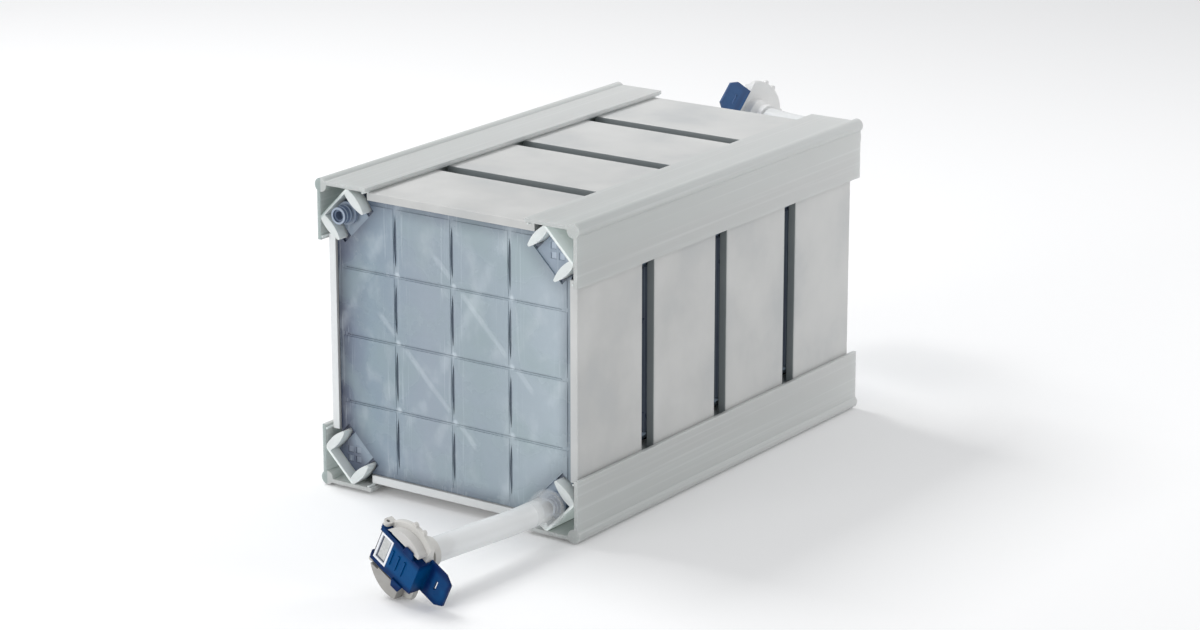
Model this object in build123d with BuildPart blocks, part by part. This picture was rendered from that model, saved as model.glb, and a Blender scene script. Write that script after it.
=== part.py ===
from build123d import *
import os
from math import cos, pi, radians, sin, sqrt, tan

# Multilayer cell culture stack: open trays bonded face to face between two end plates, held by four
# corner rails and clad with side panels, with a short hose and a sterile connector at each end.
# Millimetres. The origin is the middle of the footprint on the bench, +Z is up, and the stack runs
# along Y with its front end at -Y.

# Stack of trays
tray_pitch = 3.65
tray_floor = 1.5
tray_rim = 3.0
trays_per_pack = 25
pack_count = 4
end_plate_thick = 6.0

# Cross-section
section = 240.0
rail_overhang = 9.5
leg_width = 46.4
leg_thick = 3.0
shadow_gap = 1.5
bearing_rib_width = 1.6
bearing_rib_inset = 1.9
bead_radius = 5.4
bead_bulge = 2.0
web_distance = 22.6
web_thick = 2.0
prong_length = 22.7
prong_thick = 7.0
prong_gap = 25.5
prong_root = 4.6
prong_tip = 2.6

# Side panels
panel_thick = 6.5
panel_slot = 16.0
panel_lap = 3.9
panel_overrun = 2.5
panel_chamfer = 0.6

# Corner headers, which carry the medium along the stack
header_flange = 1.8
header_flange_width = 58.0
header_bore_radius = 6.5
header_slit = 8.0

# Ports on the end plates
port_bore_radius = 5.0
port_boss_radius = 9.0
port_boss_height = 4.0
port_height = 14.0
port_barb_radius = 7.5
port_neck_radius = 6.2
port_tip_radius = 6.6
port_tip_length = 4.0
port_barb_length = 3.6
plug_recess = 1.5
plug_length = 12.0
plug_dish_radius = 3.4
plug_dish_depth = 5.0

# Crowned cells, grooves and corner marks moulded in the end plates
groove_spacing = 53.2
groove_depth = 1.0
cell_crown = 1.4
cell_lip = 0.3
cells_across = 4
spindle_width = 2.6
spindle_end = 6.0
line_groove_width = 0.9
line_groove_depth = 0.5
field_height = 206.0
field_width = 200.0
mark_size = 5.0
mark_gap = 2.4
mark_depth = 0.8

# Hoses
hose_radius = 9.5
hose_bore_radius = 6.35

# Connectors
disc_radius = 29.0
disc_thick = 5.0
disc_flat = 17.0
disc_bevel = 1.0
hub_radius = 14.0
hub_length = 9.0
shoulder_length = 5.0
collar_radius = 11.5
collar_length = 5.3
barb_length = 19.7
barb_crest_radius = 7.1
barb_root_radius = 6.2
barb_count = 2
connector_bore_radius = 4.75
nub_radius = 2.2
nub_length = 3.0
hinge_offset = 24.0
hinge_height = 3.4
hinge_pin_radius = 1.4
knuckle_radius = 3.0
knuckle_width = 3.4
lug_thick = 3.2
lug_foot = 9.0
pin_recess = 1.0
cover_half_width = 15.0
cover_height = 8.0
cover_wall = 1.6
cover_step = 17.5
cover_step_half = 12.8
cover_ridge = 1.0
arm_length = 15.0
window_end = 2.2
window_thick = 1.6
window_rim = 1.8
window_pane_drop = 1.0
paddle_reach = 41.0
paddle_front = -4.0
paddle_thick = 2.0
paddle_half = 14.0
paddle_end_half = 9.5
paddle_corner = 7.0
paddle_slot_width = 2.0
paddle_slot_length = 8.0
seal_inner_radius = 9.0
seal_outer_radius = 11.0
seal_height = 1.0
strip_thick = 0.5
strip_length = 33.0

# Clearances
seat = 0.3
plug_clearance = 0.05
hinge_clearance = 0.06

half = section / 2
mid_height = bead_bulge + half
stack_length = pack_count * trays_per_pack * tray_pitch + 2 * end_plate_thick
rail_length = stack_length + 2 * rail_overhang
panel_inner = half - leg_thick - shadow_gap - panel_thick
tray_half = panel_inner - seat
panel_run = stack_length + 2 * panel_overrun
panel_length = (panel_run - (pack_count - 1) * panel_slot) / pack_count
panel_width = section - 2 * (leg_width - panel_lap)

# Distances along a corner's diagonal, from the outer corner of the legs towards the middle
diagonal = half * sqrt(2)
web_inner = web_distance + web_thick / 2
prong_end = web_distance + prong_length
prong_centre = (prong_gap + prong_thick) / 2
corner_cut = prong_end + seat + header_flange
ear_start = web_inner + seat
ear_width = prong_gap - 4 * seat
notch_width = 2 * prong_centre + prong_thick + 2 * seat
cell_side = groove_spacing - spindle_width - 2 * seat
port_distance = web_inner + seat + hose_radius
port_offset = half - port_distance / sqrt(2)
QUARTER_TURNS = ((1, 0), (0, 1), (-1, 0), (0, -1))


def turned(x, z, quarter):
    """Point (x, z) of the cross-section after some quarter turns about the stack's axis"""
    c, s = QUARTER_TURNS[quarter]
    return c * x - s * z, s * x + c * z


def corner_plane(quarter, y):
    """Plane across the stack on an outer corner, with both legs along its positive axes"""
    x, z = turned(-half, -half, quarter)
    leg_x, leg_z = turned(1, 0, quarter)
    return Plane(origin=(x, y, mid_height + z), x_dir=(leg_x, 0, leg_z), z_dir=(0, -1, 0))


def side_plane(quarter, distance, y):
    """Plane along one side of the stack, at a distance from its axis, facing outwards"""
    x, z = turned(0, -distance, quarter)
    out_x, out_z = turned(0, -1, quarter)
    return Plane(origin=(x, y, mid_height + z), x_dir=(0, 1, 0), z_dir=(out_x, 0, out_z))


def diag(along, across):
    """Point of a corner plane at a distance along its diagonal and across it"""
    return (along + across) / sqrt(2), (along - across) / sqrt(2)


def turning_plane(base, x, y):
    """Plane through the axis that stands on a base plane at (x, y): radius and height"""
    return Plane(origin=base.from_local_coords((x, y, 0)), x_dir=base.x_dir, z_dir=-base.y_dir)


def finish(builder, name):
    """Label a finished piece and write it"""
    builder.part.label = name
    export_step(builder.part, f"parts/{name}.step")


def corner_rail(quarter):
    """Extruded rail: two legs, a corner bead, a diagonal web and two prongs that cradle the stack"""
    with BuildPart() as rail:
        with BuildSketch(corner_plane(quarter, rail_length / 2)):
            Rectangle(leg_width, leg_thick, align=Align.MIN)
            Rectangle(leg_thick, leg_width, align=Align.MIN)
            with Locations((bead_radius - bead_bulge, bead_radius - bead_bulge)):
                Circle(bead_radius)
            with Locations(diag(web_distance, 0)):
                Rectangle(2 * (web_distance - leg_thick / sqrt(2)), web_thick, rotation=-45)
            rib_start = leg_width - bearing_rib_inset - bearing_rib_width
            rib_height = leg_thick + shadow_gap
            with Locations((rib_start, 0)):
                Rectangle(bearing_rib_width, rib_height, align=Align.MIN)
            with Locations((0, rib_start)):
                Rectangle(rib_height, bearing_rib_width, align=Align.MIN)
            for side in (-1, 1):
                middle = web_distance + prong_length / 2
                with BuildLine():
                    inner = [diag(web_distance, side * (prong_centre - prong_root / 2)),
                             diag(middle, side * (prong_centre - prong_thick / 2)),
                             diag(prong_end - prong_tip / 2, side * (prong_centre - prong_tip / 2))]
                    outer = [diag(prong_end - prong_tip / 2, side * (prong_centre + prong_tip / 2)),
                             diag(middle, side * (prong_centre + prong_thick / 2)),
                             diag(web_distance, side * (prong_centre + prong_root / 2))]
                    ThreePointArc(*inner)
                    ThreePointArc(inner[-1], diag(prong_end, side * prong_centre), outer[0])
                    ThreePointArc(*outer)
                    Line(outer[-1], inner[0])
                make_face()
        extrude(amount=rail_length)
    return rail


def stack_outline():
    """Square of the stack with its four corners cut, drawn in the open sketch"""
    Rectangle(2 * tray_half, 2 * tray_half)
    cut_square = 2 * (diagonal - corner_cut)
    Rectangle(cut_square, cut_square, rotation=45, mode=Mode.INTERSECT)


def tray_pack(index):
    """One bonded pack of open trays, each a floor with a rim along its four sides"""
    pack_length = trays_per_pack * tray_pitch
    start = -pack_count * pack_length / 2 + index * pack_length
    with BuildPart() as tray:
        with BuildSketch(Plane(origin=(0, start, mid_height), x_dir=(-1, 0, 0), z_dir=(0, 1, 0))) as base:
            stack_outline()
        extrude(amount=tray_pitch)
        with BuildSketch(base.workplanes[0].offset(tray_floor)):
            well = 2 * (tray_half - tray_rim)
            Rectangle(well, well)
        extrude(amount=tray_pitch - tray_floor, mode=Mode.SUBTRACT)
    return Compound([tray.part.solid().moved(Location((0, i * tray_pitch, 0)))
                     for i in range(trays_per_pack)])


def corner_header(quarter):
    """Corner column with a bore and a slit, which feeds every tray through its open corner"""
    length = stack_length - 2 * end_plate_thick
    column = corner_cut - ear_start
    with BuildPart() as header:
        with BuildSketch(corner_plane(quarter, length / 2)):
            with Locations(diag((ear_start + corner_cut) / 2, 0)):
                Rectangle(ear_width, column, rotation=-45)
            with Locations(diag(corner_cut - header_flange / 2, 0)):
                Rectangle(header_flange_width, header_flange, rotation=-45)
            with Locations(diag(port_distance, 0)):
                Circle(header_bore_radius, mode=Mode.SUBTRACT)
            with Locations(diag((port_distance + corner_cut) / 2, 0)):
                Rectangle(header_slit, corner_cut - port_distance, rotation=-45, mode=Mode.SUBTRACT)
        extrude(amount=length)
    return header


def end_face(front):
    """Plane on the outer face of the front or the rear end plate"""
    way = -1 if front else 1
    return Plane(origin=(0, way * stack_length / 2, mid_height), x_dir=(-way, 0, 0), z_dir=(0, way, 0))


def crowned_cell():
    """Low dome cut square, standing on the XY plane with its corners a small lip above it"""
    reach = cell_side / sqrt(2)
    rise = cell_crown - cell_lip
    crown_radius = (reach ** 2 + rise ** 2) / (2 * rise)
    with BuildPart() as cell:
        with BuildSketch(Plane.XY.offset(-groove_depth)):
            Rectangle(cell_side, cell_side)
        extrude(amount=groove_depth + 2 * cell_crown)
        with Locations((0, 0, cell_crown - crown_radius)):
            Sphere(crown_radius, rotation=(90, 0, 0), mode=Mode.INTERSECT)
    return cell.part


def end_plate(face):
    """Moulded end plate with crowned cells, ears in the rails, two ports and two corner marks"""
    cell = crowned_cell()
    with BuildPart() as plate:
        with BuildSketch(face):
            Rectangle(2 * tray_half, 2 * tray_half)
        extrude(amount=-end_plate_thick)
        with Locations(face):
            with GridLocations(groove_spacing, groove_spacing, cells_across, cells_across):
                add(cell)
        with BuildSketch(face.offset(2 * cell_crown)):
            with PolarLocations(diagonal - corner_cut / 2, 4, start_angle=45):
                Rectangle(corner_cut, notch_width)
        extrude(amount=-end_plate_thick - 2 * cell_crown, mode=Mode.SUBTRACT)
        with BuildSketch(face):
            with PolarLocations(diagonal - (ear_start + corner_cut + seat) / 2, 4, start_angle=45):
                Rectangle(corner_cut + seat - ear_start, ear_width)
        extrude(amount=-end_plate_thick)
        with BuildSketch(face):
            for column in (-1, 0, 1):
                for row in (-1.5, -0.5, 0.5, 1.5):
                    bottom = max((row - 0.5) * groove_spacing + spindle_end, -field_height / 2)
                    top = min((row + 0.5) * groove_spacing - spindle_end, field_height / 2)
                    x = column * groove_spacing
                    with BuildLine():
                        ThreePointArc((x, bottom), (x - spindle_width / 2, (bottom + top) / 2), (x, top))
                        ThreePointArc((x, top), (x + spindle_width / 2, (bottom + top) / 2), (x, bottom))
                    make_face()
        extrude(amount=-groove_depth, mode=Mode.SUBTRACT)
        with BuildSketch(face):
            with GridLocations(0, groove_spacing, 1, 3):
                Rectangle(field_width, line_groove_width)
        extrude(amount=-line_groove_depth, mode=Mode.SUBTRACT)
        for side in (-1, 1):
            with BuildSketch(turning_plane(face, side * port_offset, -side * port_offset)):
                with BuildLine():
                    barb_top = port_height - port_tip_length
                    Polyline((port_bore_radius, -end_plate_thick / 2),
                             (port_boss_radius, -end_plate_thick / 2),
                             (port_boss_radius, port_boss_height),
                             (port_neck_radius, port_boss_height),
                             (port_neck_radius, barb_top - port_barb_length),
                             (port_barb_radius, barb_top - port_barb_length),
                             (port_tip_radius, barb_top),
                             (port_tip_radius, port_height),
                             (port_bore_radius, port_height), close=True)
                make_face()
            revolve(axis=Axis(face.from_local_coords((side * port_offset, -side * port_offset, 0)),
                              face.z_dir))
            with BuildSketch(face):
                with Locations((side * port_offset, side * port_offset)):
                    with GridLocations(mark_size + mark_gap, mark_size + mark_gap, 2, 2):
                        Rectangle(mark_size, mark_size)
            extrude(amount=-mark_depth, mode=Mode.SUBTRACT)
        with BuildSketch(face):
            with Locations((-port_offset, port_offset), (port_offset, -port_offset)):
                Circle(port_bore_radius)
        extrude(amount=-end_plate_thick, mode=Mode.SUBTRACT)
    return plate


def port_plug(face, side):
    """Plug in the bore of a port that is not used, with a dished head below the port's tip"""
    top = port_height - plug_recess
    x, y = side * port_offset, -side * port_offset
    with BuildPart() as plug:
        with BuildSketch(turning_plane(face, x, y)):
            with BuildLine():
                Polyline((0, top - plug_length), (port_bore_radius - plug_clearance, top - plug_length),
                         (port_bore_radius - plug_clearance, top), (plug_dish_radius, top),
                         (plug_dish_radius * 0.7, top - plug_dish_depth), (0, top - plug_dish_depth),
                         close=True)
            make_face()
        revolve(axis=Axis(face.from_local_coords((x, y, 0)), face.z_dir))
    return plug


def side_panel(quarter, index):
    """Flat cladding panel with its outer edges chamfered"""
    y = -panel_run / 2 + panel_length / 2 + index * (panel_length + panel_slot)
    plane = side_plane(quarter, panel_inner, y)
    with BuildPart() as panel:
        with BuildSketch(plane):
            Rectangle(panel_length, panel_width)
        extrude(amount=panel_thick)
        outer = panel.faces().sort_by(Axis(plane.origin, plane.z_dir))[-1]
        chamfer(outer.edges(), panel_chamfer)
    return panel


def hose(points):
    """Hose along straight runs joined by tangent arcs, as large as the runs allow"""
    route = [Vector(*p) for p in points]
    runs = [b - a for a, b in zip(route, route[1:])]
    radii = []
    for before, after in zip(runs, runs[1:]):
        turn = radians(before.get_angle(after))
        radii.append(0.45 * min(before.length, after.length) / tan(turn / 2))
    with BuildPart() as tube:
        with BuildLine() as path:
            FilletPolyline(*route, radius=radii)
        with BuildSketch(Plane(origin=route[0], z_dir=runs[0])):
            Circle(hose_radius)
            Circle(hose_bore_radius, mode=Mode.SUBTRACT)
        sweep(path=path.wire())
    length = path.wire().length
    section_area = pi * (hose_radius ** 2 - hose_bore_radius ** 2)
    print("hose length", round(length, 1), "radii", [round(r) for r in radii],
          "volume over section times length", round(tube.part.volume / section_area / length, 5))
    return tube


def connector_face(centre, heading, roll):
    """Plane on a connector's mating face: heading is the way it faces, roll turns it about that"""
    out = Vector(-sin(radians(heading)), -cos(radians(heading)), 0)
    level = Vector(-out.Y, out.X, 0)
    across = level * cos(radians(roll)) - Vector(0, 0, 1) * sin(radians(roll))
    return Plane(origin=centre, x_dir=across, z_dir=out)


def hinge_plane(face, y):
    """Plane across the hinge pin at a place along it, with the pin at its origin"""
    return Plane(origin=face.from_local_coords((-hinge_offset, y, hinge_height)),
                 x_dir=face.x_dir, z_dir=-face.y_dir)


def connector_body(face):
    """Round flange with a hub, a collar and a hose barb behind it, and two hinge lugs in front"""
    hub_end = -disc_thick - hub_length
    collar_top = hub_end - shoulder_length
    collar_end = collar_top - collar_length
    barb_pitch = barb_length / barb_count
    axis = Axis(face.origin, face.z_dir)
    lug_inner = cover_half_width + seat
    with BuildPart() as body:
        with BuildSketch(turning_plane(face, 0, 0)):
            with BuildLine():
                outline = [(0, 0), (disc_radius - disc_bevel, 0), (disc_radius, -disc_bevel),
                           (disc_radius, disc_bevel - disc_thick), (disc_radius - disc_bevel, -disc_thick),
                           (hub_radius, -disc_thick), (hub_radius, hub_end),
                           (collar_radius - 2, collar_top), (collar_radius, collar_top),
                           (collar_radius, collar_end)]
                for i in range(barb_count):
                    outline += [(barb_root_radius, collar_end - i * barb_pitch),
                                (barb_root_radius, collar_end - (i + 0.3) * barb_pitch),
                                (barb_crest_radius, collar_end - (i + 0.3) * barb_pitch)]
                outline += [(barb_root_radius, collar_end - barb_length), (0, collar_end - barb_length)]
                Polyline(*outline, close=True)
            make_face()
        revolve(axis=axis)
        with BuildSketch(face):
            with Locations((disc_flat, 0)):
                Rectangle(disc_radius, 2 * disc_radius, align=(Align.MIN, Align.CENTER))
        extrude(amount=-disc_thick, mode=Mode.SUBTRACT)
        for side in (-1, 1):
            start = lug_inner if side < 0 else lug_inner + lug_thick
            with BuildSketch(hinge_plane(face, side * start)):
                Circle(knuckle_radius)
                with Locations((-knuckle_radius, -hinge_height - disc_thick / 2)):
                    Rectangle(knuckle_radius + lug_foot, hinge_height + disc_thick / 2 - knuckle_radius,
                              align=Align.MIN)
                with Locations((-knuckle_radius, -knuckle_radius)):
                    Rectangle(2 * knuckle_radius, knuckle_radius, align=Align.MIN)
            extrude(amount=lug_thick)
        with BuildSketch(face.offset(-disc_thick / 2 - nub_length / 2)):
            for angle in (82, 100, -82, -100):
                with Locations((disc_radius * cos(radians(angle)), disc_radius * sin(radians(angle)))):
                    Circle(nub_radius)
        extrude(amount=nub_length)
        with BuildSketch(hinge_plane(face, lug_inner + lug_thick)):
            Circle(hinge_pin_radius)
        extrude(amount=2 * (lug_inner + lug_thick), mode=Mode.SUBTRACT)
        with BuildSketch(face):
            Circle(connector_bore_radius)
        extrude(amount=collar_end - barb_length, mode=Mode.SUBTRACT)
    return body


def flip_cover(face):
    """Hinged cover: two arms, a tapered shell over the mating face and a stepped octagonal paddle"""
    shell_front = hinge_offset - arm_length
    arm_inner = cover_half_width - knuckle_width
    step_outer = cover_step + cover_wall
    with BuildPart() as cover:
        with BuildSketch(face.offset(seat)):
            with BuildLine():
                Polyline((-hinge_offset, -cover_half_width), (-shell_front, -cover_half_width),
                         (step_outer, -cover_step_half), (step_outer, cover_step_half),
                         (-shell_front, cover_half_width), (-hinge_offset, cover_half_width), close=True)
            make_face()
        extrude(amount=cover_height - seat)
        with BuildSketch(face.offset(seat)):
            with BuildLine():
                Polyline((-shell_front, -cover_half_width + cover_wall),
                         (cover_step, -cover_step_half + cover_wall),
                         (cover_step, cover_step_half - cover_wall),
                         (-shell_front, cover_half_width - cover_wall), close=True)
            make_face()
        extrude(amount=cover_height - seat - cover_wall, mode=Mode.SUBTRACT)
        with BuildSketch(face.offset(cover_height)):
            with GridLocations(4 * cover_wall, 0, 3, 1):
                Rectangle(cover_wall, cover_step_half)
        extrude(amount=cover_ridge)
        with BuildSketch(face.offset(seat)):
            with Locations((-hinge_offset, 0)):
                Rectangle(arm_length, 2 * arm_inner, align=(Align.MIN, Align.CENTER))
        extrude(amount=cover_height - seat, mode=Mode.SUBTRACT)
        with BuildSketch(hinge_plane(face, cover_half_width)):
            with Locations((-2 * knuckle_radius, -2 * knuckle_radius)):
                Rectangle(2 * knuckle_radius, 4 * knuckle_radius, align=Align.MIN)
        extrude(amount=2 * cover_half_width, mode=Mode.SUBTRACT)
        for start in (cover_half_width, knuckle_width - cover_half_width):
            with BuildSketch(hinge_plane(face, start)):
                Circle(knuckle_radius)
            extrude(amount=knuckle_width)
        with BuildSketch(hinge_plane(face, cover_half_width)):
            Circle(hinge_pin_radius + hinge_clearance)
        extrude(amount=2 * cover_half_width, mode=Mode.SUBTRACT)
        with BuildSketch(face.offset(paddle_front - paddle_thick)):
            with Locations((cover_step, 0)):
                Rectangle(cover_wall, 2 * cover_step_half, align=(Align.MIN, Align.CENTER))
        extrude(amount=cover_height + paddle_thick - paddle_front)
        with BuildSketch(face.offset(paddle_front - paddle_thick)):
            with BuildLine():
                Polyline((cover_step, -paddle_half), (paddle_reach - paddle_corner, -paddle_half),
                         (paddle_reach, -paddle_end_half), (paddle_reach, paddle_end_half),
                         (paddle_reach - paddle_corner, paddle_half), (cover_step, paddle_half),
                         close=True)
            make_face()
            with Locations(((cover_step + paddle_reach) / 2, 0)):
                Rectangle(paddle_slot_width, paddle_slot_length, mode=Mode.SUBTRACT)
        extrude(amount=paddle_thick)
    return cover


def cover_window(face):
    """Pale window between the cover's arms, with a raised rim round a thinner pane"""
    shell_front = hinge_offset - arm_length
    length = arm_length - window_end
    width = 2 * (cover_half_width - knuckle_width)
    with BuildPart() as window:
        with BuildSketch(face.offset(cover_height - window_thick)):
            with Locations((-shell_front, 0)):
                Rectangle(length, width, align=(Align.MAX, Align.CENTER))
        extrude(amount=window_thick)
        with BuildSketch(face.offset(cover_height)):
            with Locations((-shell_front - window_rim, 0)):
                Rectangle(length - 2 * window_rim, width - 2 * window_rim,
                          align=(Align.MAX, Align.CENTER))
        extrude(amount=-window_pane_drop, mode=Mode.SUBTRACT)
    return window


def hinge_pin(face):
    """Pin through both lugs and both knuckles, its ends below the lugs' outer faces"""
    reach = cover_half_width + seat + lug_thick - pin_recess
    with BuildPart() as pin:
        with BuildSketch(hinge_plane(face, reach)):
            Circle(hinge_pin_radius)
        extrude(amount=2 * reach)
    return pin


def face_seal(face):
    """Soft ring round the bore on the mating face"""
    with BuildPart() as seal:
        with BuildSketch(face):
            Circle(seal_outer_radius)
            Circle(seal_inner_radius, mode=Mode.SUBTRACT)
        extrude(amount=seal_height)
    return seal


def peel_strip(face):
    """Sterile strip that covers the seal until two connectors are joined"""
    with BuildPart() as strip:
        with BuildSketch(face.offset(seal_height)):
            Rectangle(strip_length, 2 * (cover_half_width - knuckle_width - seat))
        extrude(amount=strip_thick)
    return strip


# Where the hoses and connectors lie: the front one on the bench, the rear one off the back
front_heading, front_roll = 8.4, 27.0
front_centre = Vector(84.0, -357.0, disc_radius + 0.2)
rear_heading, rear_roll = 108.0, -36.0
rear_centre = Vector(-59.0, 315.5, 201.5)
front_connector = connector_face(front_centre, front_heading, front_roll)
rear_connector = connector_face(rear_centre, rear_heading, rear_roll)
collar_depth = disc_thick + hub_length + shoulder_length + collar_length + seat
hose_start = stack_length / 2 + port_boss_height + seat
front_low = mid_height - port_offset
rear_high = mid_height + port_offset
front_route = [
    (port_offset, -hose_start, front_low),
    (port_offset, -hose_start - 37, front_low),
    tuple(front_centre - front_connector.z_dir * (collar_depth + 37)),
    tuple(front_centre - front_connector.z_dir * collar_depth),
]
rear_route = [
    (port_offset, hose_start, rear_high),
    (port_offset, hose_start + 23.5, rear_high),
    (88.3, 240.0, rear_high - 2.5),
    (69.5, 263.0, rear_high - 6.5),
    (39.6, 280.3, rear_high - 11.5),
    tuple(rear_centre - rear_connector.z_dir * (collar_depth + 34)),
    tuple(rear_centre - rear_connector.z_dir * collar_depth),
]

os.makedirs("parts", exist_ok=True)

for quarter, corner in enumerate(("bottom_left", "bottom_right", "top_right", "top_left")):
    finish(corner_rail(quarter), f"{corner}_rail")
    finish(corner_header(quarter), f"{corner}_header")

for quarter, side in enumerate(("bottom", "right", "top", "left")):
    for index in range(pack_count):
        finish(side_panel(quarter, index), f"{side}_panel_{index + 1}")

for index in range(pack_count):
    pack = tray_pack(index)
    pack.label = f"tray_pack_{index + 1}"
    export_step(pack, f"parts/{pack.label}.step")

finish(end_plate(end_face(True)), "front_end_plate")
finish(end_plate(end_face(False)), "rear_end_plate")
finish(port_plug(end_face(True), -1), "front_port_plug")
finish(port_plug(end_face(False), 1), "rear_port_plug")
finish(hose(front_route), "front_hose")
finish(hose(rear_route), "rear_hose")

for end, face in (("front", front_connector), ("rear", rear_connector)):
    finish(connector_body(face), f"{end}_connector_body")
    finish(flip_cover(face), f"{end}_flip_cover")
    finish(cover_window(face), f"{end}_cover_window")
    finish(hinge_pin(face), f"{end}_hinge_pin")
    finish(face_seal(face), f"{end}_face_seal")
    finish(peel_strip(face), f"{end}_peel_strip")
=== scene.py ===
from math import cos, radians, sin, sqrt

import bmesh
import bpy
from mathutils import Matrix, Vector


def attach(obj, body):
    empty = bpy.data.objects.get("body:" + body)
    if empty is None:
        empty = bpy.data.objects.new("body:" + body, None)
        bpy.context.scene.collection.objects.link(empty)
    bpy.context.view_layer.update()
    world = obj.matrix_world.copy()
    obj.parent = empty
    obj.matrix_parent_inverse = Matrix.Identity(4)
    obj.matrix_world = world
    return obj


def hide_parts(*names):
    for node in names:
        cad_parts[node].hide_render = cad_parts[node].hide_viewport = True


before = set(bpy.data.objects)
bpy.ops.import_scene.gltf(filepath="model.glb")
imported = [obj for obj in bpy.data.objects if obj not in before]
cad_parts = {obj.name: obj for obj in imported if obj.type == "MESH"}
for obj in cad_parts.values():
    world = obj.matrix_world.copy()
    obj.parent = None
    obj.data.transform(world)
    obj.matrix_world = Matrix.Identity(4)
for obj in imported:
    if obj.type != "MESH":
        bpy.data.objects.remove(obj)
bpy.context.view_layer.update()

# Multilayer cell culture stack: rails, panels and end plates get their moulded plastics, webs close
# the end plates round the prongs, the two hoses are laid as cords, and the connectors get their
# cheeks and clips. Floor and lamps make the pale studio.
# Metres, in the CAD's frame: the stack runs along Y with its front end at -Y.

MM = 0.001

# Sizes that the pieces and the finishes follow
section_half = 120 * MM
mid_height = 122 * MM
diagonal = section_half * sqrt(2)
stack_half = 188.5 * MM
panel_end = 191 * MM
rail_end = 198 * MM
leg_inner = 117 * MM
tray_pitch = 3.65 * MM
groove_spacing = 53.2 * MM
panel_pitch = 99.5 * MM
panel_slot = 16 * MM
hose_diameter = 19 * MM

# A prong beside a corner's diagonal: distances along the diagonal and across it
prong_start = 22.6 * MM
prong_end = 45.3 * MM
prong_centre = 16.25 * MM
prong_widths = (4.6 * MM, 7.0 * MM, 2.6 * MM)
corner_cut = 47.4 * MM
ear_side = 12.15 * MM
notch_side = 20.05 * MM
fit_gap = 0.2 * MM
web_overlap = 0.05 * MM
web_depths = (0.9 * MM, 5.0 * MM)

# Lines square to a corner's diagonal, each as its distance across plus its distance up
ear_line = 2 * section_half - corner_cut * sqrt(2)
web_line = 2 * section_half - prong_start * sqrt(2)
bead_line = 225 * MM

# Connectors, in the axes of their mating faces; a cheek has a side, a radius and a reach
cover_half_width = 15 * MM
cover_height = 8 * MM
cheeks_on_disc = ((1, 24.6 * MM, 15 * MM), (-1, 28.8 * MM, 9 * MM))
cheek_levels = (-0.5 * MM, 7.6 * MM)
lug_front = -14 * MM
window_middle = -15.4 * MM
window_half = (4.6 * MM, 9.8 * MM)

# Port cuff in millimetres: distance from the port and radius, from its rolled lip to its thin end
cuff_profile = [(5.5, 9.7), (5.6, 12.0), (7.0, 13.9), (9.5, 14.4), (13.0, 13.8), (17.0, 12.6),
                (21.5, 11.4), (26.0, 10.5), (31.0, 9.9), (34.0, 9.7)]
cuff_wall = 1.2 * MM

# Tones shared by several finishes, and the length over which rails and panels are painted paler to the rear
# as painted light
DARK_BLUE = (0.035, 0.045, 0.085, 1)
PALE_BLUE = (0.62, 0.68, 0.72, 1)
BLACK = (0, 0, 0, 1)
fade_length = 455 * MM


class Field:
    """One shader socket; arithmetic on it adds Math nodes to its tree"""

    def __init__(self, shader, socket):
        self.shader = shader
        self.socket = socket

    def math(self, operation, *others):
        return self.shader.node("ShaderNodeMath", {"operation": operation}, [self, *others])

    def __add__(self, other):
        return self.math("ADD", other)

    def __sub__(self, other):
        return self.math("SUBTRACT", other)

    def __rsub__(self, other):
        return self.shader.node("ShaderNodeMath", {"operation": "SUBTRACT"}, [other, self])

    def __mul__(self, other):
        return self.math("MULTIPLY", other)

    def __truediv__(self, other):
        return self.math("DIVIDE", other)

    def __pow__(self, other):
        return self.math("POWER", other)

    def __neg__(self):
        return self.math("MULTIPLY", -1.0)

    def __abs__(self):
        return self.math("ABSOLUTE")

    __radd__, __rmul__ = __add__, __mul__

    def smooth(self, low, high):
        """0 below low and 1 above high, with a soft step between them"""
        return self.shader.node("ShaderNodeMapRange", {"interpolation_type": "SMOOTHSTEP"},
                                {"Value": self, "From Min": low, "From Max": high})

    def band(self, half_width, soft):
        """1 within half_width of zero, fading to 0 over the soft width"""
        return 1 - abs(self).smooth(half_width, half_width + soft)

    def wrapped(self, period):
        """Distance to the nearest multiple of a period, with its sign"""
        return ((self / period + 0.5).math("FRACT") - 0.5) * period


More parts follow.
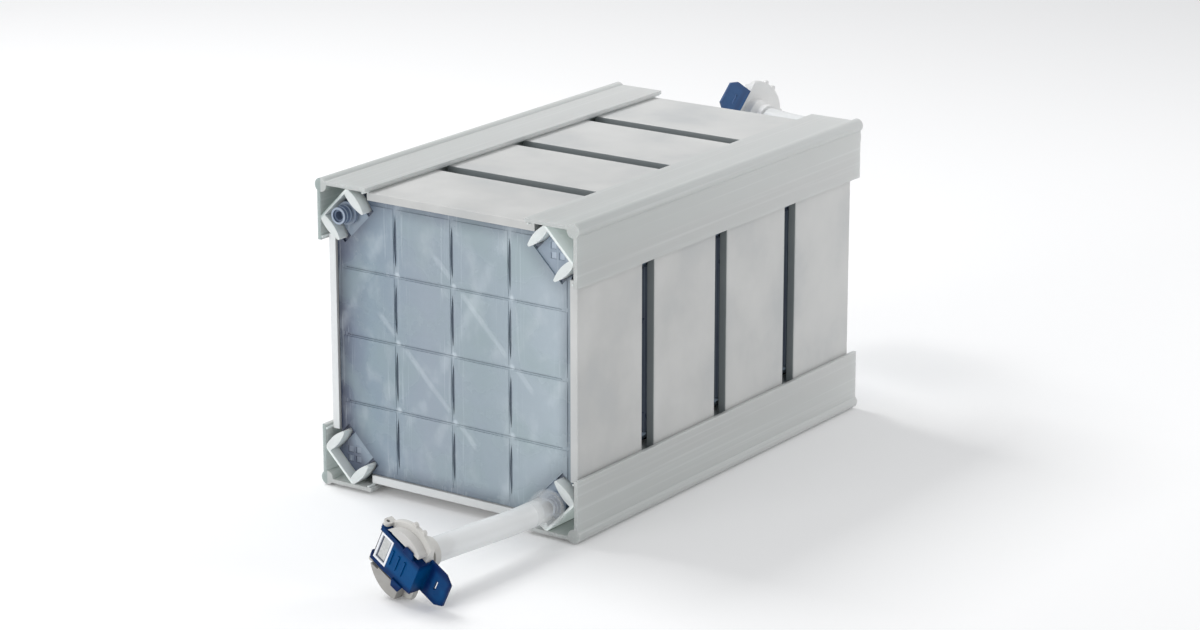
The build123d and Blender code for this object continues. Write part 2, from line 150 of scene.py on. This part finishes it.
class Shader:
    """A material's node tree, in which one method makes every node"""

    def __init__(self, name):
        self.material = bpy.data.materials.new(name)
        self.material.use_nodes = True
        self.tree = self.material.node_tree
        self.tree.nodes.clear()

    def node(self, kind, settings, sockets, output=0):
        """New node: settings first, then each socket's value or link"""
        made = self.tree.nodes.new(kind)
        for key, value in settings.items():
            if key == "stops":
                self.set_stops(made.color_ramp, value)
            else:
                setattr(made, key, value)
        named = sockets.items() if isinstance(sockets, dict) else enumerate(sockets)
        for key, value in named:
            if isinstance(value, Field):
                self.tree.links.new(value.socket, made.inputs[key])
            else:
                made.inputs[key].default_value = value
        return Field(self, made.outputs[output]) if made.outputs else None

    @staticmethod
    def set_stops(ramp, stops):
        while len(ramp.elements) < len(stops):
            ramp.elements.new(1.0)
        for element, (position, colour) in zip(ramp.elements, stops):
            element.position = position
            element.color = colour

    def coordinates(self):
        return self.node("ShaderNodeTexCoord", {}, [], "Object")

    def parts(self, vector):
        """X, Y and Z of a vector"""
        first = self.node("ShaderNodeSeparateXYZ", {}, [vector])
        outputs = first.socket.node.outputs
        return [Field(self, outputs[i]) for i in range(3)]

    def noise(self, place, scale, detail=2.0, stretch=(1, 1, 1)):
        """Smooth noise from 0 to 1, its scale in waves per metre"""
        stretched = self.node("ShaderNodeMapping", {}, {"Vector": place, "Scale": stretch})
        return self.node("ShaderNodeTexNoise", {}, {"Vector": stretched, "Scale": scale, "Detail": detail})

    def local(self, place, axes):
        """Distances along the first two of another set of axes, given as a matrix"""
        shifted = self.node("ShaderNodeVectorMath", {"operation": "SUBTRACT"}, [place, axes.translation])
        return [self.node("ShaderNodeVectorMath", {"operation": "DOT_PRODUCT"},
                          [shifted, axes.col[i].xyz], "Value") for i in range(2)]

    def mix(self, factor, low, high):
        return self.node("ShaderNodeMix", {"data_type": "RGBA"}, {0: factor, 6: low, 7: high}, 2)

    def ramp(self, value, stops):
        return self.node("ShaderNodeValToRGB", {"stops": stops}, [value])

    def bump(self, height, distance):
        return self.node("ShaderNodeBump", {}, {"Height": height, "Distance": distance, "Strength": 1.0})

    def finish(self, sockets):
        """Principled surface with these sockets set or linked"""
        surface = self.node("ShaderNodeBsdfPrincipled", {}, sockets)
        self.node("ShaderNodeOutputMaterial", {}, {"Surface": surface})
        return self.material


def rail_plastic():
    """Extruded rail: lines along its length, a satin skin, painted paler towards the rear as painted light.
    Its corners are painted paler and given a painted glow, standing in for light coming through the plastic,
    apart from the top left one, which is painted in shade."""
    s = Shader("rail_plastic")
    place = s.coordinates()
    x, y, z = s.parts(place)
    up = z - mid_height
    cloud = s.noise(place, 14.0, 3.0, (1, 0.3, 1))
    lines = s.noise(place, 420.0, 2.0, (1, 0.01, 1))
    fine = s.noise(place, 1400.0, 1.0)
    # Painted light: the tone pales towards the rear
    tone = s.ramp(y / fade_length + 0.5, [(0.0, (0.5, 0.52, 0.51, 1)), (1.0, (0.645, 0.655, 0.645, 1))])
    tone = s.mix(cloud * 0.35, tone, (0.5, 0.52, 0.51, 1))
    tone = s.mix(lines.smooth(0.5, 0.75) * 0.2, tone, (0.82, 0.84, 0.84, 1))

    # Inside of a rail: within its legs and short of its bead; the hollow is behind its web
    reach = abs(x).math("MAXIMUM", abs(up))
    outward = abs(x) + abs(up)
    inside = (1 - reach.smooth(leg_inner - 0.8 * MM, leg_inner - 0.2 * MM)) * (
        1 - outward.smooth(bead_line - 0.5 * MM, bead_line + 0.5 * MM))
    hollow = inside * outward.smooth(web_line - 2 * MM, web_line + 1 * MM)
    shaded_top_left = (-x).smooth(90 * MM, 100 * MM) * up.smooth(58 * MM, 78 * MM)
    # Painted light inside the corners, and painted shade in the top left corner's hollow
    tone = s.mix(inside * 0.75, tone, (0.82, 0.88, 0.87, 1))
    tone = s.mix(hollow * shaded_top_left * 0.75, tone, (0.22, 0.3, 0.29, 1))

    # Cut front end of the left legs, painted darker as shade
    left_leg = (-x).smooth(leg_inner - 0.6 * MM, leg_inner - 0.2 * MM)
    cut_end = (-y).smooth(rail_end - 0.6 * MM, rail_end - 0.2 * MM)
    tone = s.mix(left_leg * cut_end * 0.65, tone, (0.24, 0.31, 0.3, 1))
    # The emission is a painted glow in the corner hollows, standing in for light through the plastic
    return s.finish({
        "Base Color": tone,
        "Roughness": 0.36 + lines * 0.16,
        "Emission Color": s.mix(hollow * (1 - shaded_top_left * 0.8), BLACK, (0.8, 0.92, 0.88, 1)),
        "Emission Strength": 0.2,
        "IOR": 1.5,
        "Subsurface Weight": 0.3,
        "Subsurface Radius": (0.9, 1.0, 1.0),
        "Subsurface Scale": 12 * MM,
        "Normal": s.bump(lines + fine * 0.3, 0.08 * MM),
    })


def panel_plastic():
    """Cladding panel: cloudy satin face, painted paler towards the rear as painted light, with painted shadow
    along its slot edges and painted light on its cut ends, most of all on the left"""
    s = Shader("panel_plastic")
    place = s.coordinates()
    x, y, z = s.parts(place)
    cloud = s.noise(place, 16.0, 4.0)
    brush = s.noise(place, 500.0, 2.0, (0.03, 1, 0.03))
    fine = s.noise(place, 1600.0, 1.0)
    # Painted light: the tone pales towards the rear
    tone = s.ramp(y / fade_length + 0.5, [(0.0, (0.54, 0.545, 0.535, 1)), (1.0, (0.64, 0.645, 0.635, 1))])
    tone = s.mix(cloud.smooth(0.42, 0.75) * 0.5, tone, (0.71, 0.71, 0.695, 1))
    tone = s.mix((1 - cloud).smooth(0.48, 0.72) * 0.5, tone, (0.47, 0.49, 0.5, 1))

    # Painted shadow along the edges of the slots
    slot_edge_shadow = y.wrapped(panel_pitch).band(panel_slot / 2 + 0.15 * MM, 0.05 * MM)
    short_of_ends = 1 - abs(y).smooth(150 * MM, 152 * MM)
    tone = s.mix(slot_edge_shadow * short_of_ends * 0.62, tone, (0.1, 0.14, 0.15, 1))
    # Painted light on the cut ends, most of all on the left
    cut_end = abs(y).smooth(panel_end - 0.5 * MM, panel_end - 0.2 * MM)
    below_top = 1 - z.smooth(220 * MM, 230 * MM)
    tone = s.mix(cut_end * below_top * (0.42 - x * 2.6), tone, (0.86, 0.89, 0.9, 1))
    return s.finish({
        "Base Color": tone,
        "Roughness": 0.42 + cloud * 0.14,
        "IOR": 1.5,
        "Normal": s.bump(brush * 0.6 + fine * 0.4, 0.06 * MM),
    })


def tray_plastic():
    """Clear trays, dark inside, with a pale line at each bonded rim"""
    s = Shader("tray_plastic")
    place = s.coordinates()
    along = s.parts(place)[1]
    cloud = s.noise(place, 40.0, 3.0)
    rim = along.wrapped(tray_pitch).band(0.25 * MM, 0.3 * MM)
    tone = s.mix(cloud, (0.025, 0.03, 0.06, 1), (0.06, 0.08, 0.1, 1))
    return s.finish({
        "Base Color": s.mix(rim * 0.3, tone, (0.2, 0.25, 0.28, 1)),
        "Roughness": 0.22 + cloud * 0.15,
        "IOR": 1.5,
        "Normal": s.bump(rim, 0.1 * MM),
    })


def plate_plastic(name, way):
    """Clear bluish end plate: painted shade beside its left edge, along its edges and in its corners, with
    broken streaks painted as reflections, painted highlights where its grooves cross, and hair lines; way is
    -1 where the plate is turned about"""
    s = Shader(name)
    place = s.coordinates()
    x, y, z = s.parts(place)
    across = x * way
    up = z - mid_height
    outward = abs(across) + abs(up)
    depth = stack_half - abs(y)
    cloud = s.noise(place, 26.0, 4.0)
    wisp = s.noise(place, 70.0, 3.0, (1, 1, 0.6))

    # Body, painted in shade at its left edge and lighter towards its right one
    tone = s.ramp((across + section_half) / (2 * section_half), [
        (0.055, (0.03, 0.04, 0.07, 1)), (0.08, (0.08, 0.105, 0.16, 1)), (0.115, (0.165, 0.21, 0.28, 1)),
        (0.18, (0.235, 0.31, 0.38, 1)), (0.4, (0.31, 0.37, 0.435, 1)), (0.62, (0.32, 0.39, 0.445, 1)),
        (0.92, (0.42, 0.495, 0.55, 1))])
    tone = s.mix(cloud.smooth(0.4, 0.7) * 0.35, tone, (0.3, 0.4, 0.4, 1))
    tone = s.mix(wisp.smooth(0.5, 0.8) * 0.25, tone, PALE_BLUE)

    # Painted shade along the edges and into the corners; the ears have a tone of their own, painted lighter
    # on the left and darker on the right as painted light and shade, with painted shade at the left ears'
    # outer ends
    left = 1 - across.smooth(-90 * MM, -40 * MM)
    border = abs(across).math("MAXIMUM", abs(up)).smooth(94 * MM, 109 * MM)
    corner = outward.smooth(ear_line - 25 * MM, ear_line + 12 * MM)
    on_ear = outward.smooth(ear_line - 0.8 * MM, ear_line + 0.2 * MM) * (
        abs(across) - abs(up)).band(ear_side * sqrt(2), 0.3 * MM)
    shadow = (border * 0.45).math("MAXIMUM", corner * (0.5 + left * 0.28)) * (1 - on_ear)
    tone = s.mix(shadow, tone, DARK_BLUE)
    ear_tone = s.mix(across.smooth(-50 * MM, 50 * MM), (0.3, 0.36, 0.43, 1), (0.17, 0.22, 0.31, 1))
    tone = s.mix(on_ear * 0.55, tone, ear_tone)
    ear_shade = on_ear * left * outward.smooth(ear_line + 4 * MM, ear_line + 21 * MM)
    tone = s.mix(ear_shade * 0.75, tone, DARK_BLUE)

    # Painted shade in the grooves, and painted highlights in the corner marks
    sunk = depth.smooth(0.2 * MM, 0.55 * MM) * (1 - depth.smooth(1.3 * MM, 1.6 * MM))
    at_mark = abs(across).math("MINIMUM", abs(up)).smooth(83 * MM, 84 * MM)
    groove_shade = 0.25 + depth.smooth(0.6 * MM, 0.9 * MM) * 0.4
    tone = s.mix(sunk * (1 - at_mark) * groove_shade, tone, DARK_BLUE)
    tone = s.mix(sunk * at_mark * (0.5 - left * 0.32), tone, (0.6, 0.68, 0.78, 1))

    # Painted highlights beside the crossings, two broken streaks along a diagonal painted as reflections and
    # raised by bump, fans, and hair lines by the grooves
    side_x = across.wrapped(groove_spacing)
    side_z = up.wrapped(groove_spacing)
    inner = (1 - abs(across).smooth(70 * MM, 80 * MM)) * (1 - abs(up).smooth(70 * MM, 80 * MM))
    nearness = ((side_x - 1.5 * MM) ** 2.0 + (side_z - 1.0 * MM) ** 2.0).math("SQRT")
    crossing_highlights = (1 - nearness.smooth(0.6 * MM, 3.4 * MM)) * inner
    along = abs(across - up)
    breaks = abs(along - 50 * MM).smooth(6 * MM, 12 * MM) * (1 - along.smooth(86 * MM, 94 * MM))
    high_streak = (across + up - 59 * MM).band(0.8 * MM, 3.6 * MM)
    low_streak = (across + up + 47 * MM).band(0.8 * MM, 3.6 * MM)
    streaks = (high_streak + low_streak) * breaks
    fans = (across - up * 0.55 + 4 * MM).wrapped(106 * MM).band(0.6 * MM, 7 * MM) * wisp.smooth(0.42, 0.6)
    hair = s.noise(place, 900.0, 1.0, (1, 1, 0.015)).smooth(0.6, 0.7) * abs(side_x).band(9 * MM, 8 * MM)
    light = streaks * (0.08 + wisp * 0.22) + fans * 0.12 + hair * 0.16 + crossing_highlights * 0.5
    tone = s.mix(light.math("MINIMUM", 1.0), tone, (0.72, 0.8, 0.86, 1))

    # Port nozzle: dark, with pale rings painted as highlights along it and round its mouth
    nozzle = (-depth).smooth(1.5 * MM, 2.2 * MM)
    tone = s.mix(nozzle * 0.8, tone, (0.09, 0.13, 0.22, 1))
    rings = depth.wrapped(3.6 * MM).band(0.35 * MM, 0.5 * MM) * nozzle
    mouth = (-depth).smooth(13.5 * MM, 13.7 * MM)
    tone = s.mix((rings * 0.6).math("MAXIMUM", mouth * 0.7), tone, (0.42, 0.5, 0.6, 1))
    return s.finish({
        "Base Color": tone,
        "Roughness": 0.2 + cloud * 0.14,
        "IOR": 1.5,
        "Coat Weight": 0.25,
        "Coat Roughness": 0.12,
        "Normal": s.bump(streaks * 0.5 + wisp * 0.5 + hair * 0.1, 0.6 * MM),
    })


def hose_silicone(name, alpha, port_alpha):
    """Milky silicone, clearer beside the ports where the nozzle shows through"""
    s = Shader(name)
    place = s.coordinates()
    along = s.parts(place)[1]
    cloud = s.noise(place, 45.0, 3.0)
    port = 1 - abs(along).smooth(202 * MM, 225 * MM)
    return s.finish({
        "Base Color": s.mix(cloud, (0.86, 0.88, 0.88, 1), (0.93, 0.94, 0.94, 1)),
        "Roughness": 0.28 + cloud * 0.12,
        "IOR": 1.41,
        "Alpha": alpha - port * (alpha - port_alpha),
        "Normal": s.bump(cloud, 0.3 * MM),
    })


def cover_plastic(name, axes, sky_reflection):
    """Glossy navy cover, its middle and paddle painted lighter than its edges as painted light and shade; its
    last argument paints a pale reflection of the sky on its paddle
    """
    s = Shader(name)
    place = s.coordinates()
    u, v = s.local(place, axes)
    flow = s.noise(place, 90.0, 3.0)
    # Painted light: the middle and the paddle lighter than the edges
    middle = v.band(7 * MM, 6 * MM) * u.band(18 * MM, 4 * MM)
    paddle = v.band(8 * MM, 5 * MM) * (u - 32 * MM).band(5 * MM, 4 * MM)
    tone = s.mix(middle.math("MAXIMUM", paddle * 0.6), (0.0, 0.016, 0.09, 1), (0.0, 0.065, 0.21, 1))
    tone = s.mix(flow.smooth(0.45, 0.75) * 0.3, tone, (0.0, 0.095, 0.26, 1))
    # Painted reflection of the sky on the paddle
    tone = s.mix(u.smooth(16 * MM, 19 * MM) * sky_reflection, tone, (0.14, 0.24, 0.44, 1))
    return s.finish({
        "Base Color": tone,
        "Roughness": 0.3 + flow * 0.15,
        "IOR": 1.5,
        "Specular IOR Level": 0.12,
        "Normal": s.bump(flow, 0.2 * MM),
    })


def window_plastic(name, axes):
    """White window frame, a dark line inside it and a pale grey pane"""
    s = Shader(name)
    place = s.coordinates()
    u, v = s.local(place, axes)
    haze = s.noise(place, 260.0, 2.0)
    past_edge = (abs(u - window_middle) - window_half[0]).math("MAXIMUM", abs(v) - window_half[1])
    from_line = past_edge + 0.55 * MM
    line = from_line.band(0.45 * MM, 0.15 * MM)
    pane = 1 - from_line.smooth(0.0, 0.2 * MM)
    tone = s.mix(pane, (0.86, 0.88, 0.92, 1), (0.56, 0.57, 0.56, 1))
    tone = s.mix(haze.smooth(0.4, 0.7) * 0.2, tone, (0.7, 0.71, 0.72, 1))
    return s.finish({
        "Base Color": s.mix(line * 0.92, tone, (0.02, 0.035, 0.08, 1)),
        "Roughness": 0.2 + haze * 0.15,
        "IOR": 1.5,
        "Normal": s.bump(haze, 0.1 * MM),
    })


def moulded_plastic(name, colour, roughness, low_shade_colour=None):
    """Small moulded part with faint flow marks; where a low colour is given, it is painted near the bench as
    shade
    """
    s = Shader(name)
    place = s.coordinates()
    height = s.parts(place)[2]
    flow = s.noise(place, 75.0, 3.0, (1, 1, 2.5))
    fine = s.noise(place, 2200.0, 1.0)
    # Painted shade: the low colour near the bench
    tone = s.mix(height.smooth(20 * MM, 40 * MM), (*(low_shade_colour or colour), 1), (*colour, 1))
    darker = [0.88 * part for part in colour]
    tone = s.mix(flow * 0.5, tone, (*darker, 1))
    return s.finish({
        "Base Color": tone,
        "Roughness": roughness + (flow - 0.5) * 0.12,
        "IOR": 1.5,
        "Normal": s.bump(fine, 0.02 * MM),
    })


def coat(piece, material):
    """Gives every face of a piece or CAD node one material"""
    piece.data.materials.clear()
    piece.data.materials.append(material)


def shown_object(name, data):
    """New object in the scene, at the origin until it is placed"""
    made = bpy.data.objects.new(name, data)
    bpy.context.collection.objects.link(made)
    return made


def mesh_piece(name, vertices, faces):
    """New object with its place in its mesh and its faces outwards"""
    mesh = bpy.data.meshes.new(name)
    mesh.from_pydata([tuple(v) for v in vertices], [], faces)
    shape = bmesh.new()
    shape.from_mesh(mesh)
    bmesh.ops.recalc_face_normals(shape, faces=shape.faces)
    shape.to_mesh(mesh)
    shape.free()
    return shown_object(name, mesh)


def prisms(name, axes, outlines, levels, bevel):
    """Solid prisms between two levels on outlines in the plane of some axes, with rounded edges"""
    vertices, faces = [], []
    for outline in outlines:
        first, count = len(vertices), len(outline)
        vertices += [axes @ Vector((u, v, level)) for level in levels for u, v in outline]
        faces.append([first + i for i in reversed(range(count))])
        faces.append([first + count + i for i in range(count)])
        faces += [[first + i, first + (i + 1) % count, first + count + (i + 1) % count, first + count + i]
                  for i in range(count)]
    made = mesh_piece(name, vertices, faces)
    if bevel:
        rounding = made.modifiers.new("rounding", "BEVEL")
        rounding.width = bevel
        rounding.segments = 3
        rounding.limit_method = "ANGLE"
    return made


def hose_curve(name, route):
    """Smooth hose whose centreline is one open NURBS spline on the route's points"""
    curve = bpy.data.curves.new(name, "CURVE")
    curve.dimensions = "3D"
    curve.bevel_depth = hose_diameter / 2
    curve.bevel_resolution = 8
    curve.resolution_u = 16
    spline = curve.splines.new("NURBS")
    spline.points.add(len(route) - 1)
    for point, place in zip(spline.points, route):
        point.co = (*place, 1.0)
    spline.order_u = 3
    spline.use_endpoint_u = True
    return shown_object(name, curve)


def connector_axes(centre, heading, roll):
    """Axes of a connector's mating face: heading is the way it faces, roll turns it about that"""
    out = Vector((-sin(radians(heading)), -cos(radians(heading)), 0))
    level = Vector((-out.y, out.x, 0))
    u = level * cos(radians(roll)) - Vector((0, 0, sin(radians(roll))))
    axes = Matrix((u, out.cross(u), out)).transposed().to_4x4()
    axes.translation = centre
    return axes


def prong_edge(distance, side):
    """How far a prong's outer (1) or inner (-1) edge is from the diagonal, by a parabola"""
    root, middle, tip = (w / 2 for w in prong_widths)
    t = (distance - prong_start) / (prong_end - prong_start)
    width = root * (1 - t) * (1 - 2 * t) + middle * 4 * t * (1 - t) + tip * t * (2 * t - 1)
    return prong_centre + side * (width + fit_gap)


def web_outline(mirror):
    """Outline round one prong's end inside the plate's notch: distance along the diagonal, across"""
    step_count = 10
    first, last = prong_start + 4 * MM, prong_end - 0.6 * MM
    steps = [first + i * (last - first) / step_count for i in range(step_count + 1)]
    inner = [(d, prong_edge(d, -1)) for d in steps if prong_edge(d, -1) > ear_side + web_overlap]
    outer = [(d, prong_edge(d, 1)) for d in reversed(steps) if prong_edge(d, 1) < notch_side - web_overlap]
    around = [(inner[0][0], ear_side)] + inner + [(prong_end + fit_gap, prong_centre)] + outer
    around += [(outer[-1][0], notch_side), (corner_cut, notch_side), (corner_cut, ear_side)]
    return [(d, mirror * a) for d, a in around]


def corner_tree(material):
    """Geometry Nodes tree that repeats one corner's webs round the stack's axis"""
    tree = bpy.data.node_groups.new("webs_round_corners", "GeometryNodeTree")
    sockets = {}
    for name, kind, in_out in (("Webs", "NodeSocketGeometry", "INPUT"), ("Corners", "NodeSocketInt", "INPUT"),
                               ("Turn", "NodeSocketFloat", "INPUT"), ("Height", "NodeSocketFloat", "INPUT"),
                               ("Webs", "NodeSocketGeometry", "OUTPUT")):
        sockets[name, in_out] = tree.interface.new_socket(name, in_out=in_out, socket_type=kind)

    def node(kind, **inputs):
        made = tree.nodes.new(kind)
        for key, value in inputs.items():
            socket = made.inputs[key]
            if isinstance(value, bpy.types.NodeSocket):
                tree.links.new(value, socket)
            else:
                socket.default_value = value
        return made

    given = node("NodeGroupInput").outputs
    points = node("GeometryNodeMeshLine", Count=given["Corners"], Offset=(0, 0, 0))
    turn = tree.nodes.new("ShaderNodeMath")
    turn.operation = "MULTIPLY"
    tree.links.new(node("GeometryNodeInputIndex").outputs[0], turn.inputs[0])
    tree.links.new(given["Turn"], turn.inputs[1])
    rotation = node("ShaderNodeCombineXYZ", Y=turn.outputs[0])
    spread = node("GeometryNodeInstanceOnPoints", Points=points.outputs[0], Instance=given["Webs"],
                  Rotation=rotation.outputs[0])
    raised = node("ShaderNodeCombineXYZ", Z=given["Height"])
    lifted = node("GeometryNodeTransform", Geometry=spread.outputs[0], Translation=raised.outputs[0])
    real = node("GeometryNodeRealizeInstances", Geometry=lifted.outputs[0])
    coated = node("GeometryNodeSetMaterial", Geometry=real.outputs[0], Material=material)
    tree.links.new(coated.outputs[0], node("NodeGroupOutput").inputs[0])
    return tree, {name: socket.identifier for (name, in_out), socket in sockets.items() if in_out == "INPUT"}


def plate_webs(end, end_side, material):
    """Webs that close the end plate's notches round the eight prongs; end_side is the end's sign in Y"""
    levels = [end_side * (stack_half - depth) for depth in web_depths]
    corner = Matrix(((1 / sqrt(2), -1 / sqrt(2), 0, -diagonal / sqrt(2)), (0, 0, 1, 0),
                     (1 / sqrt(2), 1 / sqrt(2), 0, -diagonal / sqrt(2)), (0, 0, 0, 1)))
    webs = prisms(f"{end}_plate_webs", corner, [web_outline(1), web_outline(-1)], levels, 0)
    tree, inputs = corner_tree(material)
    repeat = webs.modifiers.new("corners", "NODES")
    repeat.node_group = tree
    for name, value in (("Corners", 4), ("Turn", radians(90)), ("Height", mid_height)):
        repeat[inputs[name]] = value
    evaluated = webs.evaluated_get(bpy.context.evaluated_depsgraph_get())
    mesh = bpy.data.meshes.new_from_object(evaluated)
    webs.modifiers.clear()
    webs.data = mesh
    return webs


def cheek_outline(side, radius, reach):
    """Raised part of the disc beside the cover, from behind the hinge lug to a given reach"""
    start, end = reach / radius, -0.76
    step_count = 14
    arc = [start + (end - start) * i / step_count for i in range(step_count + 1)]
    rim = [(radius * c, radius * sqrt(1 - c * c)) for c in arc]
    inside = cover_half_width + 1.4 * MM
    lug = (lug_front, max(rim[-1][1] - 0.5 * MM, inside + 0.4 * MM))
    outline = [(reach, inside)] + rim + [lug, (lug_front, inside)]
    return [(u, side * v) for u, v in outline]


def clip_outline(side):
    """Finger clip on a long side of the cover"""
    inner, outer = cover_half_width - 2.6 * MM, cover_half_width + 3.6 * MM
    outline = [(1 * MM, inner), (2.5 * MM, outer), (10 * MM, outer), (12.5 * MM, inner)]
    return [(u, side * v) for u, v in outline]


def port_cuff(name, start, side):
    """Soft flared cuff round a hose where it leaves its port; side is the port's sign in Y"""
    count = 48
    vertices, faces = [], []
    for along, radius in cuff_profile:
        for i in range(count):
            angle = radians(360 * i / count)
            vertices.append(start + Vector((radius * cos(angle), side * along, radius * sin(angle))) * MM)
    for ring in range(len(cuff_profile) - 1):
        for i in range(count):
            a, b = ring * count + i, ring * count + (i + 1) % count
            faces.append([a, b, b + count, a + count])
    made = mesh_piece(name, vertices, faces)
    made.data.polygons.foreach_set("use_smooth", [True] * len(made.data.polygons))
    wall = made.modifiers.new("wall", "SOLIDIFY")
    wall.thickness = cuff_wall
    wall.offset = -1.0
    rounding = made.modifiers.new("smooth", "SUBSURF")
    rounding.levels = rounding.render_levels = 1
    return made


# Camera fitted to the photograph
camera_data = bpy.data.cameras.new("camera")
camera_data.lens = 105.96
camera_data.sensor_width = 36.0
camera_data.clip_end = 50.0
camera = shown_object("camera", camera_data)
camera.location = (1.5311, -2.1912, 0.9051)
camera.rotation_euler = (radians(90 - 16.611), radians(0.03), radians(34.898))
bpy.context.scene.camera = camera

# Hoses, on the same points as the CAD's routes but for the rear one's second to fourth, which are
# drawn in a little so that it stays behind the rail
front_route = [(0.096383, -0.1928, 0.025617), (0.096383, -0.2298, 0.025617),
               (0.092999, -0.296061, 0.0292), (0.087594, -0.332664, 0.0292)]
rear_route = [(0.096383, 0.1928, 0.218383), (0.0955, 0.2155, 0.218383), (0.0868, 0.2385, 0.215883),
              (0.0695, 0.2625, 0.211883), (0.0396, 0.2803, 0.206883), (-0.003268, 0.297392, 0.2015),
              (-0.035604, 0.307898, 0.2015)]
hose_routes = {"front": (front_route, 0.1404), "rear": (rear_route, 0.1932)}
face_axes = {"front": connector_axes((0.084, -0.357, 0.0292), 8.4, 27.0),
             "rear": connector_axes((-0.059, 0.3155, 0.2015), 108.0, -36.0)}

silicone = hose_silicone("hose_silicone", 0.8, 0.12)
for end, (route, length) in hose_routes.items():
    hose = hose_curve(f"{end}_silicone_hose", route)
    coat(hose, silicone)
    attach(hose, "module")
    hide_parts(f"{end}_hose")

cuff = port_cuff("front_port_cuff", Vector(front_route[0]), -1)
coat(cuff, hose_silicone("cuff_silicone", 0.2, 0.13))
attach(cuff, "module")

# Finishes of the CAD nodes, by a word in a node's name; some have one of their own at each end
finishes = {
    "rail": rail_plastic(),
    "panel": panel_plastic(),
    "header": moulded_plastic("header_plastic", (0.26, 0.33, 0.4), 0.25, (0.2, 0.26, 0.33)),
    "tray": tray_plastic(),
    "port_plug": moulded_plastic("plug_plastic", (0.12, 0.16, 0.24), 0.25),
    "front_connector_body": moulded_plastic("connector_plastic", (0.66, 0.65, 0.62), 0.35, (0.5, 0.49, 0.46)),
    # The rear body is painted paler than the front one as painted light
    "rear_connector_body": moulded_plastic("rear_connector_plastic", (0.83, 0.83, 0.82), 0.35),
    "hinge_pin": moulded_plastic("pin_plastic", (0.03, 0.03, 0.035), 0.4),
    "face_seal": moulded_plastic("seal_silicone", (0.7, 0.7, 0.7), 0.5, (0.6, 0.6, 0.6)),
    "peel_strip": moulded_plastic("strip_film", (0.85, 0.85, 0.85), 0.5, (0.8, 0.8, 0.8)),
}
cheek_plastic = {
    "front": moulded_plastic("front_cheek_plastic", (0.6, 0.59, 0.57), 0.4, (0.31, 0.3, 0.28)),
    # The rear cheeks are painted paler than the front ones as painted light; the front ones are darker near
    # the bench as painted shade
    "rear": moulded_plastic("rear_cheek_plastic", (0.8, 0.8, 0.79), 0.4),
}
for end, way, sky_reflection in (("front", 1, 0.0), ("rear", -1, 0.45)):
    axes = face_axes[end]
    plate = plate_plastic(f"{end}_plate_plastic", way)
    navy = cover_plastic(f"{end}_cover_plastic", axes, sky_reflection)
    finishes[f"{end}_end_plate"] = plate
    finishes[f"{end}_flip_cover"] = navy
    finishes[f"{end}_cover_window"] = window_plastic(f"{end}_window_plastic", axes)

    webs = plate_webs(end, -way, plate)
    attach(webs, "module")
    cheeks = prisms(f"{end}_disc_cheeks", axes, [cheek_outline(*cheek) for cheek in cheeks_on_disc],
                    cheek_levels, 1.2 * MM)
    coat(cheeks, cheek_plastic[end])
    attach(cheeks, "module")
    clips = prisms(f"{end}_cover_clips", axes, [clip_outline(1), clip_outline(-1)],
                   (cover_height - 0.2 * MM, cover_height + 1.6 * MM), 0.6 * MM)
    coat(clips, navy)
    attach(clips, f"{end}_cover")

for name, node_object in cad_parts.items():
    for kind, material in finishes.items():
        if kind in name:
            coat(node_object, material)


def light_surroundings():
    """World that lights the object softly and looks white to the camera"""
    world = bpy.data.worlds.new("studio")
    bpy.context.scene.world = world
    world.use_nodes = True
    tree = world.node_tree
    tree.nodes.clear()
    output = tree.nodes.new("ShaderNodeOutputWorld")
    choose = tree.nodes.new("ShaderNodeMixShader")
    rays = tree.nodes.new("ShaderNodeLightPath")
    tree.links.new(rays.outputs["Is Camera Ray"], choose.inputs[0])
    tree.links.new(choose.outputs[0], output.inputs["Surface"])
    for socket, colour, strength in ((1, (0.97, 0.98, 1.0, 1), 0.54), (2, (1, 1, 1, 1), 1.0)):
        background = tree.nodes.new("ShaderNodeBackground")
        background.inputs["Color"].default_value = colour
        background.inputs["Strength"].default_value = strength
        tree.links.new(background.outputs[0], choose.inputs[socket])


def area_lamp(name, place, size, power):
    """Soft square lamp that points at the middle of the stack"""
    lamp = bpy.data.lights.new(name, "AREA")
    lamp.size = size
    lamp.energy = power
    made = shown_object(name, lamp)
    made.location = place
    aim = Vector((0, 0, mid_height)) - Vector(place)
    made.rotation_euler = aim.to_track_quat("-Z", "Y").to_euler()


def white_floor(half_side, drop):
    """Pale floor just under the object, with a little glow for the camera alone"""
    mesh = bpy.data.meshes.new("floor")
    mesh.from_pydata([(-half_side, -half_side, 0), (half_side, -half_side, 0), (half_side, half_side, 0),
                      (-half_side, half_side, 0)], [], [(0, 1, 2, 3)])
    floor = shown_object("floor", mesh)
    floor.location = (0, 0, -drop)
    s = Shader("floor_white")
    camera_ray = s.node("ShaderNodeLightPath", {}, [], "Is Camera Ray")
    coat(floor, s.finish({"Base Color": (0.9, 0.9, 0.9, 1), "Roughness": 0.9,
                          "Emission Color": (1, 1, 1, 1), "Emission Strength": camera_ray * 0.09}))
    return floor


light_surroundings()
area_lamp("left_lamp", (-1.35, 0.1, 1.9), 0.9, 27)
area_lamp("front_lamp", (-0.6, -2.5, 0.7), 1.2, 19)
area_lamp("rear_lamp", (1.1, 1.3, 1.0), 0.8, 5)
area_lamp("right_lamp", (2.4, -0.2, 0.8), 0.7, 4.6)
white_floor(6.0, 0.5 * MM)

bpy.context.scene.view_settings.view_transform = "Standard"
